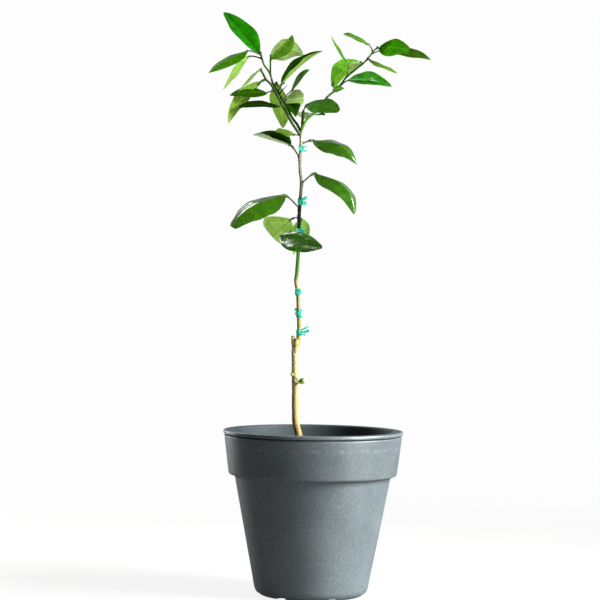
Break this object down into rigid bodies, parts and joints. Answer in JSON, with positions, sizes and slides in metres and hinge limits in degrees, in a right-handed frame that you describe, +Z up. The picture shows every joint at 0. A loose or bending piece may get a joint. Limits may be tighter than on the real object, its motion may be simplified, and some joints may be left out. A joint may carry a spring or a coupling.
{
  "type": "potted citrus sapling",
  "caption": "Young grafted citrus tree with a thin crooked stem, three boughs and loose oval leaves, in a tapered round plastic pot with a rim band.",
  "frame": {"origin": "centre of the pot's flat underside", "axes": "+Z up along the pot's axis, -Y the front, +X to the right seen from the front"},
  "size_m": [0.3096, 0.252, 0.8199],
  "materials": {
    "pot_plastic": "fine-grained matt slate-grey plastic",
    "potting_mix": "crumbly dark potting mix",
    "bark": "dull olive-brown young bark, paler and corky below the graft",
    "tie_tape": "soft turquoise tying tape",
    "young_shoot": "fresh yellow-green shoot",
    "leaf": "glossy dark green above, pale matt green below"
  },
  "bodies": {
    "root": {"pot": "pot_plastic", "soil": "potting_mix", "trunk": "bark", "bough_left": "bark", "bough_middle": "bark", "bough_right": "bark", "tie_1": "tie_tape", "tie_2": "tie_tape", "tie_3": "tie_tape", "tie_4": "tie_tape", "tie_5": "tie_tape", "tie_6": "tie_tape", "sprout": "young_shoot", "foliage_left": "leaf", "foliage_top": "leaf", "foliage_right": "leaf", "foliage_fork": "leaf", "leaf_left_low": "leaf", "leaf_centre_1": "leaf", "leaf_centre_2": "leaf", "leaf_centre_3": "leaf", "leaf_centre_4": "leaf", "leaf_centre_5": "leaf", "leaf_stem_1": "leaf", "leaf_stem_2": "leaf", "leaf_stem_3": "leaf", "leaf_stem_4": "leaf", "leaf_stem_5": "leaf", "leaf_stem_6": "leaf", "leaf_stem_7": "leaf", "leaf_stem_8": "leaf"}
  },
  "joints": []
}
